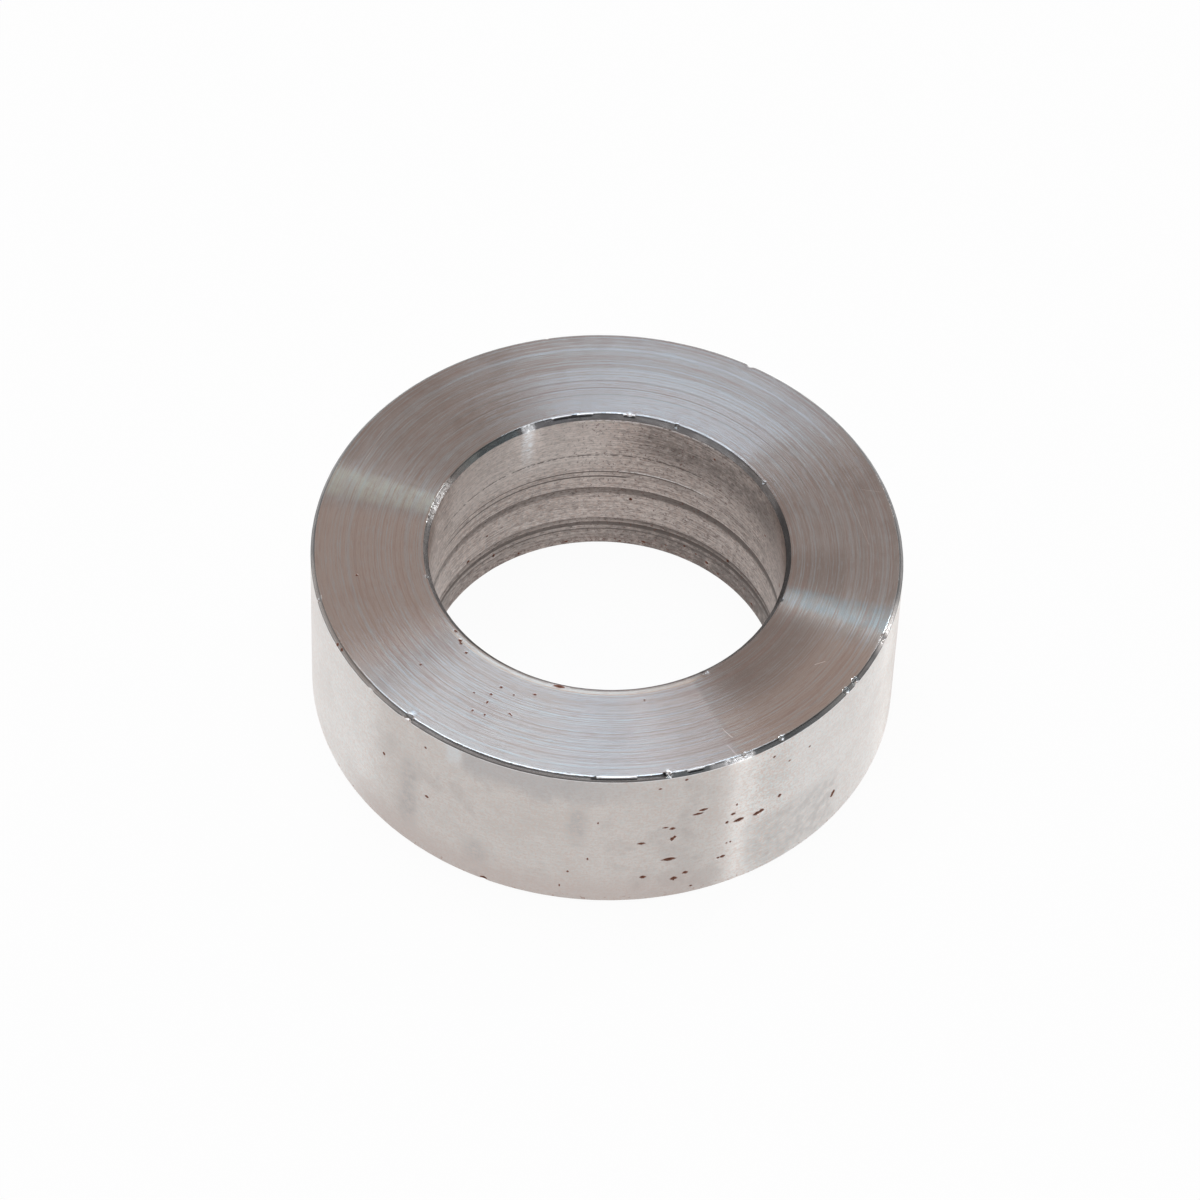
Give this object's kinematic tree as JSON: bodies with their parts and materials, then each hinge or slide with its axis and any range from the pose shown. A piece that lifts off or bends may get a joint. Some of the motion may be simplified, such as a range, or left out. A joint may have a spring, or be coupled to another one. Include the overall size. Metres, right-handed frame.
{
  "type": "bushing",
  "caption": "Plain turned steel bushing: a thick-walled ring with a round through bore, flat end faces and chamfered rims, for carrying or spacing a shaft.",
  "frame": {"origin": "on the bore's axis, at the lower end face that the bushing stands on", "axes": "+Z along the bore's axis, from the lower end face to the upper one; the ring is round about Z, so X and Y are any two directions across it"},
  "size_m": [0.058, 0.058, 0.019],
  "materials": {
    "turned_steel": "bare steel, finely turned on the end faces, satin on the outside, bored inside"
  },
  "bodies": {
    "root": {"bushing": "turned_steel"}
  },
  "joints": []
}
